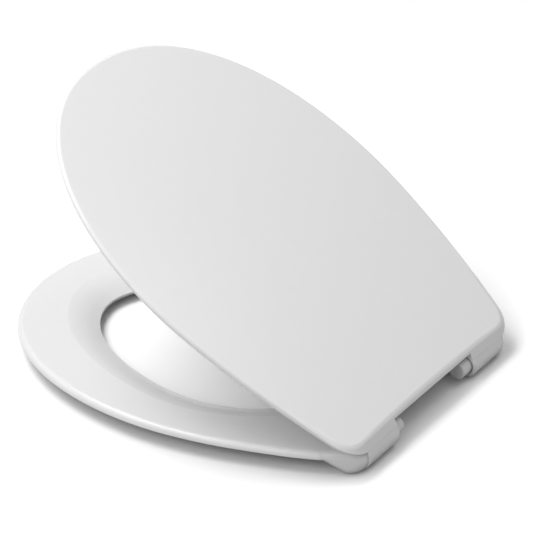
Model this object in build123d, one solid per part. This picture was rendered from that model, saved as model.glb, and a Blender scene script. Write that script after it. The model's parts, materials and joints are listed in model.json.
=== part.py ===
from build123d import *
from math import acos, atan, atan2, cos, hypot, pi, radians, sin, tan
import os

"""A toilet seat with its lid half open: an oval ring, an oval lid and a damped hinge at each rear corner.

Frame: X across, -Y to the front, +Z up. The floor under the buffers is Z = 0, and the origin lies on it
straight below the middle of the hinge line. All sizes are in millimetres.
"""

# Hinge line and opening
hinge_height = 14.0
lid_opening = 33.4

# Lid plate, given with the lid closed
lid_half_width = 184.5
lid_tip = -450.0
lid_widest = -213.8
lid_rear = 6.0
lid_rear_half_width = 141.2
lid_bluntness = 2.16
lid_taper = 1.6
lid_corner = 37.0
lid_clearance = 4.4
lid_arch = 3.0
lid_top_round = 3.2
lid_land = 0.3
lid_under_round = 1.5

# Slope round the rear of the lid, under a soft crease
slope_angle = 27.0
slope_start = -5.5
slope_drop = 0.8
slope_corner = 24.0
slope_side = -25.0
slope_side_inset = 4.0
crease_round = 9.5

# Lid lugs
lug_length = 52.0
lug_radius = 13.1
lug_bore = 9.6
lug_root = 22.0
lip_rear = -2.5
lug_edge_round = 1.5
pocket_clearance = 0.5

# Seat ring
ring_side_margin = 2.0
ring_tip_margin = 3.5
ring_axis_margin = 2.7
ring_widest = -196.5
ring_rear = -20.0
ring_bluntness = 2.06
ring_taper = 1.76
ring_under = 9.0
ring_shoulder = 16.7
ring_draft = 13.0
ring_land = 0.3
ring_top_round = 6.0
ring_rear_corner = 8.0

# Opening in the ring
hole_half_width = 113.5
hole_centre = -185.6
hole_front = 183.0
hole_rear = 122.0
hole_bluntness = 1.85
lip_height = 2.4
dish_width = 42.0
dish_rise = 0.6

# Channel under the ring
channel_outer_wall = 21.0
channel_inner_wall = 27.0
channel_depth = 6.0
channel_rear = -60.0

# Ring arms
arm_width = 14.1
arm_tuck = 2.5
arm_radius = 12.0
arm_forward = 1.0
arm_drop = 0.8
arm_gap = 0.9
arm_start = -28.0
arm_round = 7.0

# Buffers
buffer_radius = 9.5
buffer_boss = 11.5
buffer_pin_radius = 3.5
buffer_pin_length = 5.0
front_buffer = -350.0
rear_buffer = -92.0
buffer_edge = 1.2
lid_buffer = -335.0
lid_buffer_inset = 33.0
lid_buffer_radius = 8.0
lid_buffer_recess = 0.8
lid_buffer_gap = 0.3
lid_buffer_edge = 0.8

# Hinge hub, damper and bearings
hub_reach = 15.0
hub_seat = 2.0
hub_radius = 8.6
hub_edge = 1.6
hub_step = 0.4
tang_radius = 3.5
tang_flats = 5.0
tang_length = 6.0
neck_radius = 4.5
journal_radius = 4.0
journal_reach = 7.0
drum_radius = 6.9
drum_length = 26.0
housing_bore = 7.3
cap_length = 2.7
seal_space = 3.2
seal_section = 1.35
bush_wall = 2.4
bush_length = 8.0
key_width = 3.0
key_height = 1.2
key_length = 14.0
spigot_flats = 12.0
spigot_length = 7.0
washer_thickness = 0.7
washer_width = 1.7

# Clearances: seated, running, at the keys, and endways along the hinge line
seat_play = 0.02
run_play = 0.05
key_play = 0.1
end_float = 0.3

# Outline of the ring, which follows that of the lid
ring_half_width = lid_half_width + ring_side_margin
ring_tip = lid_tip + ring_tip_margin
ring_axis_half_width = lid_rear_half_width - ring_axis_margin

# Heights of the ring's top and of the closed lid over it
ring_top = ring_shoulder + ring_land + ring_top_round
lid_thickness = lid_under_round + lid_land + lid_top_round
lid_crown_height = ring_top + lid_clearance + lid_thickness
slope_start_height = lid_crown_height - slope_drop

# Places along the hinge line, counted from the middle of the seat
arm_outer = ring_axis_half_width - arm_tuck
arm_inner = arm_outer - arm_width
lug_outer = arm_inner - arm_gap
lug_inner = lug_outer - lug_length
hub_inner = lug_inner - hub_reach
hub_outer = lug_inner + hub_seat
housing_inner = hub_outer + end_float
cap_outer = housing_inner + cap_length
drum_inner = cap_outer + seal_space + end_float
drum_outer = drum_inner + drum_length
housing_outer = arm_inner - end_float
journal_end = arm_inner + journal_reach
spigot_end = housing_outer + spigot_length
bush_end = arm_inner + bush_length

hinge = Axis((0, 0, hinge_height), (1, 0, 0))
stand = (Align.CENTER, Align.CENTER, Align.MIN)
hang = (Align.CENTER, Align.CENTER, Align.MAX)


def oval(half_width, tip, widest, rear, rear_half_width, bluntness, taper, corner):
    """Plan of the lid or ring: a blunt oval front, tapering sides and a straight rear edge."""
    front_stations = [radians(a) for a in (0, 12, 27, 44, 62, 80, 90)]
    side_stations = [0.25, 0.5, 0.75, 1.0]
    power = 2 / bluntness
    drawn_in = half_width - rear_half_width
    side = []
    for a in front_stations:
        side.append((half_width * sin(a) ** power, widest + (tip - widest) * cos(a) ** power))
    for s in side_stations:
        side.append((half_width - drawn_in * s**taper, widest + (rear - widest) * s))
    side[6] = (half_width, widest)
    slope_x = drawn_in * taper
    slope_y = rear - widest
    left_side = [(-x, y) for x, y in reversed(side[1:])]
    rim = Spline(*left_side, *side, tangents=[(-slope_x, -slope_y), (-slope_x, slope_y)])
    plan = make_face([rim, Line(rim @ 1, rim @ 0)])
    return fillet(plan.vertices().group_by(Axis.Y)[-1], corner)


def width_ahead(y, half_width, widest, tip, bluntness):
    """Half width of an oval outline between its widest line and its tip."""
    share = (y - widest) / (tip - widest)
    return half_width * (1 - share**bluntness) ** (1 / bluntness)


def width_behind(y, half_width, widest, rear, rear_half_width, taper):
    """Half width of an oval outline between its widest line and its rear."""
    share = (y - widest) / (rear - widest)
    return half_width - (half_width - rear_half_width) * share**taper


def lid_plan():
    return oval(lid_half_width, lid_tip, lid_widest, lid_rear, lid_rear_half_width,
                lid_bluntness, lid_taper, lid_corner)


def lid_width_at(y):
    return width_behind(y, lid_half_width, lid_widest, lid_rear, lid_rear_half_width, lid_taper)


def ring_width_at(y):
    if y < ring_widest:
        return width_ahead(y, ring_half_width, ring_widest, ring_tip, ring_bluntness)
    return width_behind(y, ring_half_width, ring_widest, 0, ring_axis_half_width, ring_taper)


def hole_width_at(y):
    end = hole_centre - hole_front if y < hole_centre else hole_centre + hole_rear
    return width_ahead(y, hole_half_width, hole_centre, end, hole_bluntness)


def ring_plan(inset, rear, corner):
    return oval(ring_half_width - inset, ring_tip + inset, ring_widest, rear,
                ring_width_at(rear) - inset, ring_bluntness, ring_taper, corner)


def hole_plan(growth):
    """Egg-shaped opening of the ring, grown outwards by a width."""
    power = 2 / hole_bluntness
    stations = [radians(a) for a in (8, 22, 42, 65)]
    quarter = [(sin(a) ** power, cos(a) ** power) for a in stations]
    width = hole_half_width + growth
    front = hole_front + growth
    rear = hole_rear + growth
    side = [(width * x, hole_centre - front * y) for x, y in quarter]
    side.append((width, hole_centre))
    side += [(width * x, hole_centre + rear * y) for x, y in reversed(quarter)]
    left_side = [(-x, y) for x, y in reversed(side)]
    rim = Spline((0, hole_centre - front), *side, (0, hole_centre + rear), *left_side, periodic=True)
    return make_face(rim)


def along_hinge(profile, start, end):
    """Stands a side view on the hinge line and runs it between two places across the seat."""
    plane = Plane(origin=(start, 0, hinge_height), x_dir=(0, 1, 0), z_dir=(1, 0, 0))
    return extrude(plane * profile, amount=end - start)


def turned(radius, start, end):
    """Round bar on the hinge line between two places across the seat."""
    return along_hinge(Circle(radius), start, end)


def side_pair(solid):
    """The right-hand piece and its mirror image on the left."""
    return solid, mirror(solid, about=Plane.YZ)


def under_arch(crown):
    """Everything below an arched surface of the lid, by the height of its crown."""
    reach = 2 * lid_half_width
    drop = lid_arch * (reach / lid_half_width) ** 2
    arch = ThreePointArc((-reach, crown - drop), (0, crown), (reach, crown - drop))
    section = make_face([arch, Polyline(arch @ 0, (-reach, -reach), (reach, -reach), arch @ 1)])
    return extrude(Plane.XZ * section, amount=2 * reach, both=True)


def lid_plate():
    """Arched oval plate, rounded all round its rim."""
    block = extrude(Pos(0, 0, ring_under) * lid_plan(), amount=lid_crown_height)
    plate = (block & under_arch(lid_crown_height)) - under_arch(lid_crown_height - lid_thickness)
    plate = plate.fillet(lid_top_round, plate.faces().sort_by(Axis.Z)[-1].edges())
    return plate.fillet(lid_under_round, plate.faces().sort_by(Axis.Z)[0].edges())


def slope_block():
    """Everything under the lid's top and inside the slope round its rear, with a soft crease."""
    fall = tan(radians(slope_angle))
    lean = atan((lid_width_at(slope_side) - lid_width_at(slope_start)) / (slope_start - slope_side))
    crease = lid_width_at(slope_side) - slope_side_inset
    crease_height = lid_crown_height - lid_arch * (crease / lid_half_width) ** 2
    rear = slope_start + slope_start_height / fall
    front = lid_tip - lid_half_width
    offset_side = crease * cos(lean) + slope_side * sin(lean) + crease_height / fall
    rear_x, front_x = [(offset_side - y * sin(lean)) / cos(lean) for y in (rear, front)]
    corners = [(-rear_x, rear), (-front_x, front), (front_x, front), (rear_x, rear)]
    foot = make_face(Polyline(*corners, close=True))
    foot = fillet(foot.vertices().group_by(Axis.Y)[-1], slope_corner + crease_height / fall)
    block = extrude(foot, amount=lid_crown_height + lid_thickness, taper=90 - slope_angle)
    block &= under_arch(lid_crown_height)
    top = block.faces().sort_by(Axis.Z)[-1]
    crease_edges = [edge for edge in top.edges() if edge.center().Y > lid_tip]
    return block.fillet(crease_round, crease_edges)


def tangent_turn(radius, point, way):
    """Direction from the hinge line to where a tangent from a point touches a round."""
    return atan2(point[1], point[0]) + way * acos(radius / hypot(*point))


def round_end(radius, front, back):
    """Side view of a round on the hinge line that runs out along two tangents to a pair of points."""
    turn_front = tangent_turn(radius, front, 1) % (2 * pi)
    turn_back = tangent_turn(radius, back, -1)
    touch_front = (radius * cos(turn_front), radius * sin(turn_front))
    touch_back = (radius * cos(turn_back), radius * sin(turn_back))
    half_way = (turn_front - 2 * pi + turn_back) / 2
    bend = ThreePointArc(touch_back, (radius * cos(half_way), radius * sin(half_way)), touch_front)
    return make_face([bend, Polyline(touch_front, front, back, touch_back)])


def lid_lug():
    """Right-hand lug: a round knuckle on the hinge line that grows into the underside of the plate."""
    root_height = lid_crown_height - lid_thickness / 2 - hinge_height
    side = round_end(lug_radius, (-lug_root, root_height), (slope_start, root_height))
    lug = along_hinge(side, lug_inner, lug_outer)
    return lug.fillet(lug_edge_round, lug.faces().sort_by(Axis.X)[0].edges())


def lid_buffer_place(side):
    """Flat seat of a lid buffer, sunk in the lid's underside, lid closed."""
    x = ring_width_at(lid_buffer) - lid_buffer_inset
    under = lid_crown_height - lid_thickness - lid_arch * (x / lid_half_width) ** 2
    return Pos(side * x, lid_buffer, under + lid_buffer_recess)


def key_section(play):
    """Cross section of the two ribs that lock the left damper in its lug, at the front and the rear."""
    return Rectangle(2 * (lug_bore + key_height + play), key_width + 2 * play)


def lid_solid():
    """The lid moulding, closed."""
    lug, left_lug = side_pair(lid_lug())
    lid = (lid_plate() + lug + left_lug) & slope_block()
    gap = Box(2 * lug_inner, lug_root, 2 * lid_crown_height, align=(Align.CENTER, Align.MIN, Align.CENTER))
    lid -= Pos(0, lip_rear, 0) * gap
    for side in (1, -1):
        lid -= turned(lug_bore, side * lug_inner, side * lug_outer)
        lid -= along_hinge(arm_side(pocket_clearance), side * lug_outer, side * lid_half_width)
        lid -= lid_buffer_place(side) * Cylinder(lid_buffer_radius + seat_play, lid_thickness, align=hang)
    return lid - along_hinge(key_section(key_play), -lug_outer, key_play + key_length - lug_outer)


def opened(solid):
    """Turns a piece of the closed lid up to the half-open position."""
    return solid.rotate(hinge, -lid_opening)


def arm_ends(clearance):
    """Lower and upper point of the arm where it leaves the ring, seen from the side."""
    low = ring_shoulder - hinge_height - clearance
    high = ring_top - hinge_height + clearance
    return (arm_start, low), (arm_start, high)


def arm_side(clearance):
    """Side view of a ring arm: a round end on the hinge line that runs forward into the ring."""
    return round_end(arm_radius + clearance, *arm_ends(clearance))


def arm_section(depth):
    """Section of the arm from a depth inside it to its surface, with a large round at the outer edge."""
    top = arm_radius
    corners = [(lug_inner, -depth), (arm_outer, -depth), (arm_outer, top), (lug_inner, top)]
    section = make_face(Polyline(*corners, close=True))
    return fillet(section.vertices().sort_by(Axis.Y)[-2:].sort_by(Axis.X)[-1], arm_round)


def arm_run(turn, length):
    """The arm's section run forward along the tangent at one turn of its round end."""
    plane = Plane(origin=(0, 0, hinge_height), x_dir=(1, 0, 0), z_dir=(0, -sin(turn), cos(turn)))
    return extrude(plane * arm_section(2 * arm_radius), amount=length)


def ring_arm():
    """Right-hand arm: a bulb round the hinge line that runs forward into the ring along its outline."""
    low, high = [(y + arm_forward, z + arm_drop) for y, z in arm_ends(0)]
    reach = 2 * hypot(*low)
    lower = arm_run(tangent_turn(arm_radius, low, 1), -reach)
    upper = arm_run(tangent_turn(arm_radius, high, -1), reach)
    plane = Plane(origin=(0, 0, hinge_height), x_dir=(1, 0, 0), z_dir=(0, 1, 0))
    arm = revolve(plane * arm_section(0), axis=hinge) + (lower & upper)
    arm = Pos(0, -arm_forward, -arm_drop) * arm
    lean = (ring_width_at(arm_start) - arm_outer) / arm_start
    arm = arm.transform_geometry(Matrix([[1, lean, 0, 0], [0, 1, 0, 0], [0, 0, 1, 0]]))
    return split(arm, Plane.YZ.offset(arm_inner))


def ring_body():
    """Solid of the ring before its opening: drafted lower side, upright wall, rounded top edge."""
    wide = ring_plan(0, ring_rear, ring_rear_corner)
    narrow = ring_plan(ring_draft, ring_rear, ring_rear_corner)
    shoulder = Pos(0, 0, ring_shoulder) * wide
    lower = loft([Pos(0, 0, ring_under) * narrow, shoulder], ruled=True)
    upper = extrude(shoulder, amount=ring_top - ring_shoulder)
    upper = upper.fillet(ring_top_round, upper.faces().sort_by(Axis.Z)[-1].edges())
    return lower + upper


def dish():
    """Hollow of the ring's top: falls gently at first, then ever more steeply to the lip of the opening."""
    lip_top = ring_under + lip_height
    fall = ring_top + dish_rise - lip_top
    sections = []
    for share in (0, 0.25, 0.5, 0.75, 1):
        height = lip_top + fall * (1 - (1 - share) ** 2)
        sections.append(Pos(0, 0, height) * hole_plan(share * dish_width))
    return loft(sections)


def buffer_places():
    """Places of the four seat buffers, by the name of each."""
    places = {}
    for row, y in (("front", front_buffer), ("rear", rear_buffer)):
        x = (ring_width_at(y) + hole_width_at(y)) / 2
        places[row + "_left"] = Pos(-x, y, ring_under)
        places[row + "_right"] = Pos(x, y, ring_under)
    return places


def channel():
    """Horseshoe hollow under the ring, standing round the bosses of the buffers."""
    plan = ring_plan(channel_outer_wall, channel_rear, ring_rear_corner) - hole_plan(channel_inner_wall)
    hollow = extrude(Pos(0, 0, ring_under) * plan, amount=channel_depth)
    for place in buffer_places().values():
        hollow -= place * Cylinder(buffer_boss, channel_depth, align=stand)
    return hollow


def ring_solid():
    """The seat ring with its arms."""
    arm, left_arm = side_pair(ring_arm())
    ring = ring_body() + arm + left_arm
    ring -= dish()
    ring -= extrude(hole_plan(0), amount=ring_top)
    ring -= channel()
    for place in buffer_places().values():
        ring -= place * Cylinder(buffer_pin_radius + seat_play, buffer_pin_length + end_float, align=stand)
    ring -= turned(journal_radius + bush_wall + seat_play, -arm_inner, -bush_end)
    socket = Rectangle(spigot_flats + 2 * seat_play, spigot_flats + 2 * seat_play)
    return ring - along_hinge(socket, arm_inner, spigot_end + end_float)


def seat_buffer(place):
    """Round buffer under the ring, held by a pin in its boss."""
    foot = Cylinder(buffer_radius, ring_under, align=hang)
    foot = foot.fillet(buffer_edge, foot.edges().group_by(Axis.Z)[0])
    return place * (foot + Cylinder(buffer_pin_radius, buffer_pin_length, align=stand))


def lid_buffer_solid(side):
    """Flat round buffer that keeps the closed lid off the ring."""
    place = lid_buffer_place(side)
    pad = Cylinder(lid_buffer_radius, place.position.Z - ring_top - lid_buffer_gap, align=hang)
    pad = pad.fillet(lid_buffer_edge, pad.edges().group_by(Axis.Z)[0])
    return place * pad


def tang_section(play):
    """Round with two flats, shared by the rotor's tang and the hub's socket for it."""
    return Circle(tang_radius + play) & Rectangle(2 * tang_radius + 2 * play, tang_flats + 2 * play)


def hub():
    """Right-hand hinge hub: a stub for the fixing post, stepped down in the lug round the rotor's tang."""
    stub_end = lug_inner - end_float
    stub = turned(hub_radius, hub_inner, stub_end)
    stub = stub.fillet(hub_edge, stub.edges().group_by(Axis.X)[0])
    stub += turned(hub_radius - hub_step, stub_end, hub_outer)
    return stub - along_hinge(tang_section(seat_play), hub_outer - tang_length - end_float, hub_outer)


def rotor():
    """Right-hand damper rotor: tang, neck, drum and journal in one piece."""
    body = along_hinge(tang_section(0), hub_outer - tang_length, hub_outer)
    body += turned(neck_radius, hub_outer, drum_inner)
    body += turned(drum_radius, drum_inner, drum_outer)
    return body + turned(journal_radius, drum_outer, journal_end)


def housing(fit):
    """Right-hand damper housing without its drive: a sleeve in the lid's lug, bored for drum and journal."""
    body = turned(lug_bore - fit, housing_inner, housing_outer)
    return body - turned(housing_bore, housing_inner, drum_outer + end_float)


def journal_hole(end):
    return turned(journal_radius + run_play, drum_outer, end)


def ring_housing():
    """Right-hand housing, locked to the ring by a square spigot."""
    spigot = along_hinge(Rectangle(spigot_flats, spigot_flats), housing_outer, spigot_end)
    return housing(run_play) + spigot - journal_hole(spigot_end)


def lid_housing():
    """Left-hand housing, locked to the lid by two ribs."""
    sleeve = mirror(housing(seat_play) - journal_hole(housing_outer), about=Plane.YZ)
    ribs = along_hinge(key_section(0), key_play - lug_outer, key_length - lug_outer)
    return sleeve + (ribs - turned(drum_radius, -lug_outer, -lug_inner))


def tube(bore, radius, start, end):
    return turned(radius, start, end) - turned(bore, start, end)


def seal():
    """Right-hand ring seal between the cap and the drum."""
    middle = (neck_radius + housing_bore) / 2
    place = Plane(origin=(cap_outer + seal_space / 2, 0, hinge_height), z_dir=(1, 0, 0))
    return place * Torus(middle, seal_section)


os.makedirs("parts", exist_ok=True)
pieces = {"lid": opened(lid_solid()), "seat_ring": ring_solid()}
for name, place in buffer_places().items():
    pieces["seat_buffer_" + name] = seat_buffer(place)
pieces["lid_buffer_left"] = opened(lid_buffer_solid(-1))
pieces["lid_buffer_right"] = opened(lid_buffer_solid(1))
pieces["hinge_hub_right"], pieces["hinge_hub_left"] = side_pair(hub())
pieces["damper_rotor_right"], pieces["damper_rotor_left"] = side_pair(rotor())
pieces["damper_housing_right"] = ring_housing()
pieces["damper_housing_left"] = opened(lid_housing())
cap, left_cap = side_pair(tube(neck_radius + run_play, housing_bore - seat_play, housing_inner, cap_outer))
pieces["damper_cap_right"] = cap
pieces["damper_cap_left"] = opened(left_cap)
pieces["damper_seal_right"], left_seal = side_pair(seal())
pieces["damper_seal_left"] = opened(left_seal)
pieces["ring_bush_left"] = tube(journal_radius + run_play, journal_radius + bush_wall, -arm_inner, -bush_end)
washer_inner = lug_outer + (arm_gap - washer_thickness) / 2
washer = tube(lug_bore, lug_bore + washer_width, washer_inner, washer_inner + washer_thickness)
pieces["thrust_washer_right"], pieces["thrust_washer_left"] = side_pair(washer)
for name, solid in pieces.items():
    export_step(solid, "parts/" + name + ".step")
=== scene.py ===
import json
from math import cos, radians, sin

import bpy
from mathutils import Matrix, Vector

# Surfaces
plastic_ior = 1.5
noise_low, noise_high = 0.2, 0.8
ripple_depth = 0.0004
tone_share, gloss_share = 1 / 16, 1 / 6
white = (0.82, 0.82, 0.82)

# Studio, in metres and watts
floor_size = 14
floor_seen, floor_bounce = 1.05, 0.3
floor_plain_from, floor_plain_to = 0.4, 0.9
middle = Vector((0, -0.2, 0.1))
softbox_distance, softbox_size = 2.4, 1.3
softboxes = {"back": (135, 62, 9), "front": (270, 62, 22.6), "key": (315, 62, 20.4), "right": (0, 33, 13.8)}
surround = 0.342

# Camera: angles in degrees, distance and aim in metres, focal length and frame width in pixels
view_azimuth, view_elevation, view_roll = 124.811, 28.448, -1.922
view_distance, view_aim = 2.81006, (-0.15585, -0.28543, 0)
focal_px, frame_px = 2716.69, 535
sensor_width = 36
view_limit = 50

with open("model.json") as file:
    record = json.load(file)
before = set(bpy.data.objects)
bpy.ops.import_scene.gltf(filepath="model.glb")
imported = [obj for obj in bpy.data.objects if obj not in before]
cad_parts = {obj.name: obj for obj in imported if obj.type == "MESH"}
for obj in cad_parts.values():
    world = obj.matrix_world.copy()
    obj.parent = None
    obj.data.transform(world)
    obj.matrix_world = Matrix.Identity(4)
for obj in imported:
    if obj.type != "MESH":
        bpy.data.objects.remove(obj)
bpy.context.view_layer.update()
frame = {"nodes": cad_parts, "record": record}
nodes = frame["nodes"]
scene = bpy.context.scene


# Materials

def grey(level):
    return (level, level, level, 1)


def empty_material(name):
    """A node material with nothing but its output."""
    material = bpy.data.materials.new(name)
    material.use_nodes = True
    tree = material.node_tree
    tree.nodes.clear()
    return material, tree, tree.nodes.new("ShaderNodeOutputMaterial")


def noise(tree, scale, detail):
    """Solid noise in the object's own frame."""
    place = tree.nodes.new("ShaderNodeTexCoord")
    texture = tree.nodes.new("ShaderNodeTexNoise")
    texture.inputs["Scale"].default_value = scale
    texture.inputs["Detail"].default_value = detail
    tree.links.new(place.outputs["Object"], texture.inputs["Vector"])
    return texture.outputs["Fac"]


def spread(tree, value, low, high):
    """Maps the middle of a noise on to a range."""
    ranged = tree.nodes.new("ShaderNodeMapRange")
    ranged.inputs["From Min"].default_value = noise_low
    ranged.inputs["From Max"].default_value = noise_high
    ranged.inputs["To Min"].default_value = low
    ranged.inputs["To Max"].default_value = high
    tree.links.new(value, ranged.inputs["Value"])
    return ranged.outputs["Result"]


def moulded(name, colour, shift, rough, ripple, scale):
    """Moulded plastic or rubber: faint drift of tone, uneven gloss and a fine ripple of the surface."""
    material, tree, output = empty_material(name)
    shader = tree.nodes.new("ShaderNodeBsdfPrincipled")
    tree.links.new(shader.outputs["BSDF"], output.inputs["Surface"])
    blend = tree.nodes.new("ShaderNodeMix")
    blend.data_type = "RGBA"
    blend.inputs["A"].default_value = (*colour, 1)
    blend.inputs["B"].default_value = (*[c * (1 - shift) for c in colour], 1)
    tone = spread(tree, noise(tree, scale * tone_share, 0), 0, 1)
    tree.links.new(tone, blend.inputs["Factor"])
    tree.links.new(blend.outputs["Result"], shader.inputs["Base Color"])
    gloss = spread(tree, noise(tree, scale * gloss_share, 1), *rough)
    tree.links.new(gloss, shader.inputs["Roughness"])
    bump = tree.nodes.new("ShaderNodeBump")
    bump.inputs["Strength"].default_value = ripple
    bump.inputs["Distance"].default_value = ripple_depth
    tree.links.new(noise(tree, scale, 2), bump.inputs["Height"])
    tree.links.new(bump.outputs["Normal"], shader.inputs["Normal"])
    shader.inputs["IOR"].default_value = plastic_ior
    return material


looks = {
    "lid_plastic": moulded("lid_white", white, 0.006, (0.20, 0.23), 0.02, 1600),
    "ring_plastic": moulded("ring_white", white, 0.006, (0.20, 0.23), 0.02, 1600),
    "hub_plastic": moulded("hub_white", (0.80, 0.80, 0.80), 0.015, (0.26, 0.34), 0.03, 260),
    "buffer_rubber": moulded("buffer_grey", (0.62, 0.62, 0.61), 0.08, (0.55, 0.75), 0.25, 900),
    "damper_body": moulded("damper_grey", (0.36, 0.37, 0.38), 0.06, (0.42, 0.55), 0.15, 700),
    "damper_core": moulded("damper_natural", (0.70, 0.69, 0.64), 0.05, (0.40, 0.52), 0.12, 700),
    "seal_rubber": moulded("seal_black", (0.02, 0.02, 0.02), 0.2, (0.45, 0.65), 0.2, 1200),
    "bearing_plastic": moulded("bearing_natural", (0.72, 0.71, 0.66), 0.05, (0.38, 0.5), 0.12, 900),
}
for entry in frame["record"]["subparts"]:
    piece = nodes[entry["node"]]
    piece.data.materials.clear()
    piece.data.materials.append(looks[entry["material_slot"]])


# Floor

def floor_material():
    """Grey for the light it sends back. Where it is looked at, it is white and takes the shadow, and further out it
    is plain white."""
    material, tree, output = empty_material("floor_white")
    add, link = tree.nodes.new, tree.links.new
    near = add("ShaderNodeBsdfDiffuse")
    near.inputs["Color"].default_value = grey(floor_seen)
    far = add("ShaderNodeEmission")
    far.inputs["Strength"].default_value = 1
    place = add("ShaderNodeTexCoord")
    reach = add("ShaderNodeVectorMath")
    reach.operation = "LENGTH"
    link(place.outputs["Object"], reach.inputs[0])
    ranged = add("ShaderNodeMapRange")
    ranged.interpolation_type = "SMOOTHSTEP"
    ranged.inputs["From Min"].default_value = floor_plain_from
    ranged.inputs["From Max"].default_value = floor_plain_to
    link(reach.outputs["Value"], ranged.inputs["Value"])
    seen = add("ShaderNodeMixShader")
    link(ranged.outputs["Result"], seen.inputs["Fac"])
    link(near.outputs["BSDF"], seen.inputs[1])
    link(far.outputs["Emission"], seen.inputs[2])
    lit = add("ShaderNodeBsdfDiffuse")
    lit.inputs["Color"].default_value = grey(floor_bounce)
    path = add("ShaderNodeLightPath")
    shown = add("ShaderNodeMath")
    shown.operation = "MAXIMUM"
    link(path.outputs["Is Camera Ray"], shown.inputs[0])
    link(path.outputs["Is Glossy Ray"], shown.inputs[1])
    choose = add("ShaderNodeMixShader")
    link(shown.outputs["Value"], choose.inputs["Fac"])
    link(lit.outputs["BSDF"], choose.inputs[1])
    link(seen.outputs["Shader"], choose.inputs[2])
    link(choose.outputs["Shader"], output.inputs["Surface"])
    return material


bpy.ops.mesh.primitive_plane_add(size=floor_size, location=(middle.x, middle.y, 0))
floor = bpy.context.object
floor.name = "floor"
floor.data.materials.append(floor_material())


# Light

def softbox(name, azimuth, elevation, power):
    """Square soft light at a direction from the middle of the object, turned to face it."""
    light = bpy.data.lights.new(name, "AREA")
    light.shape = "SQUARE"
    light.size = softbox_size
    light.energy = power
    lamp = bpy.data.objects.new(name, light)
    scene.collection.objects.link(lamp)
    level = cos(elevation)
    way = Vector((cos(azimuth) * level, sin(azimuth) * level, sin(elevation)))
    lamp.location = middle + softbox_distance * way
    lamp.rotation_euler = (-way).to_track_quat("-Z", "Y").to_euler()


def studio_world():
    """Even light all round, and white where the camera looks past the floor."""
    world = bpy.data.worlds.new("studio")
    world.use_nodes = True
    tree = world.node_tree
    light = tree.nodes["Background"]
    light.inputs["Color"].default_value = grey(1)
    path = tree.nodes.new("ShaderNodeLightPath")
    ranged = tree.nodes.new("ShaderNodeMapRange")
    ranged.inputs["To Min"].default_value = surround
    ranged.inputs["To Max"].default_value = 1
    tree.links.new(path.outputs["Is Camera Ray"], ranged.inputs["Value"])
    tree.links.new(ranged.outputs["Result"], light.inputs["Strength"])
    return world


for name, (azimuth, elevation, power) in softboxes.items():
    softbox(name, radians(azimuth), radians(elevation), power)
scene.world = studio_world()
scene.view_settings.view_transform = "Standard"


# Camera at the photograph's viewpoint

def place_camera(azimuth, elevation, roll):
    level = cos(elevation)
    back = Vector((sin(azimuth) * level, -cos(azimuth) * level, sin(elevation)))
    right = Vector((0, 0, 1)).cross(back).normalized()
    up = back.cross(right)
    right, up = cos(roll) * right + sin(roll) * up, cos(roll) * up - sin(roll) * right
    camera = bpy.data.cameras.new("camera")
    camera.sensor_width = sensor_width
    camera.lens = sensor_width * focal_px / frame_px
    camera.clip_end = view_limit
    viewer = bpy.data.objects.new("camera", camera)
    scene.collection.objects.link(viewer)
    turn = Matrix((right, up, back)).transposed()
    place = Vector(view_aim) + view_distance * back
    viewer.matrix_world = Matrix.Translation(place) @ turn.to_4x4()
    scene.camera = viewer


place_camera(radians(view_azimuth), radians(view_elevation), radians(view_roll))
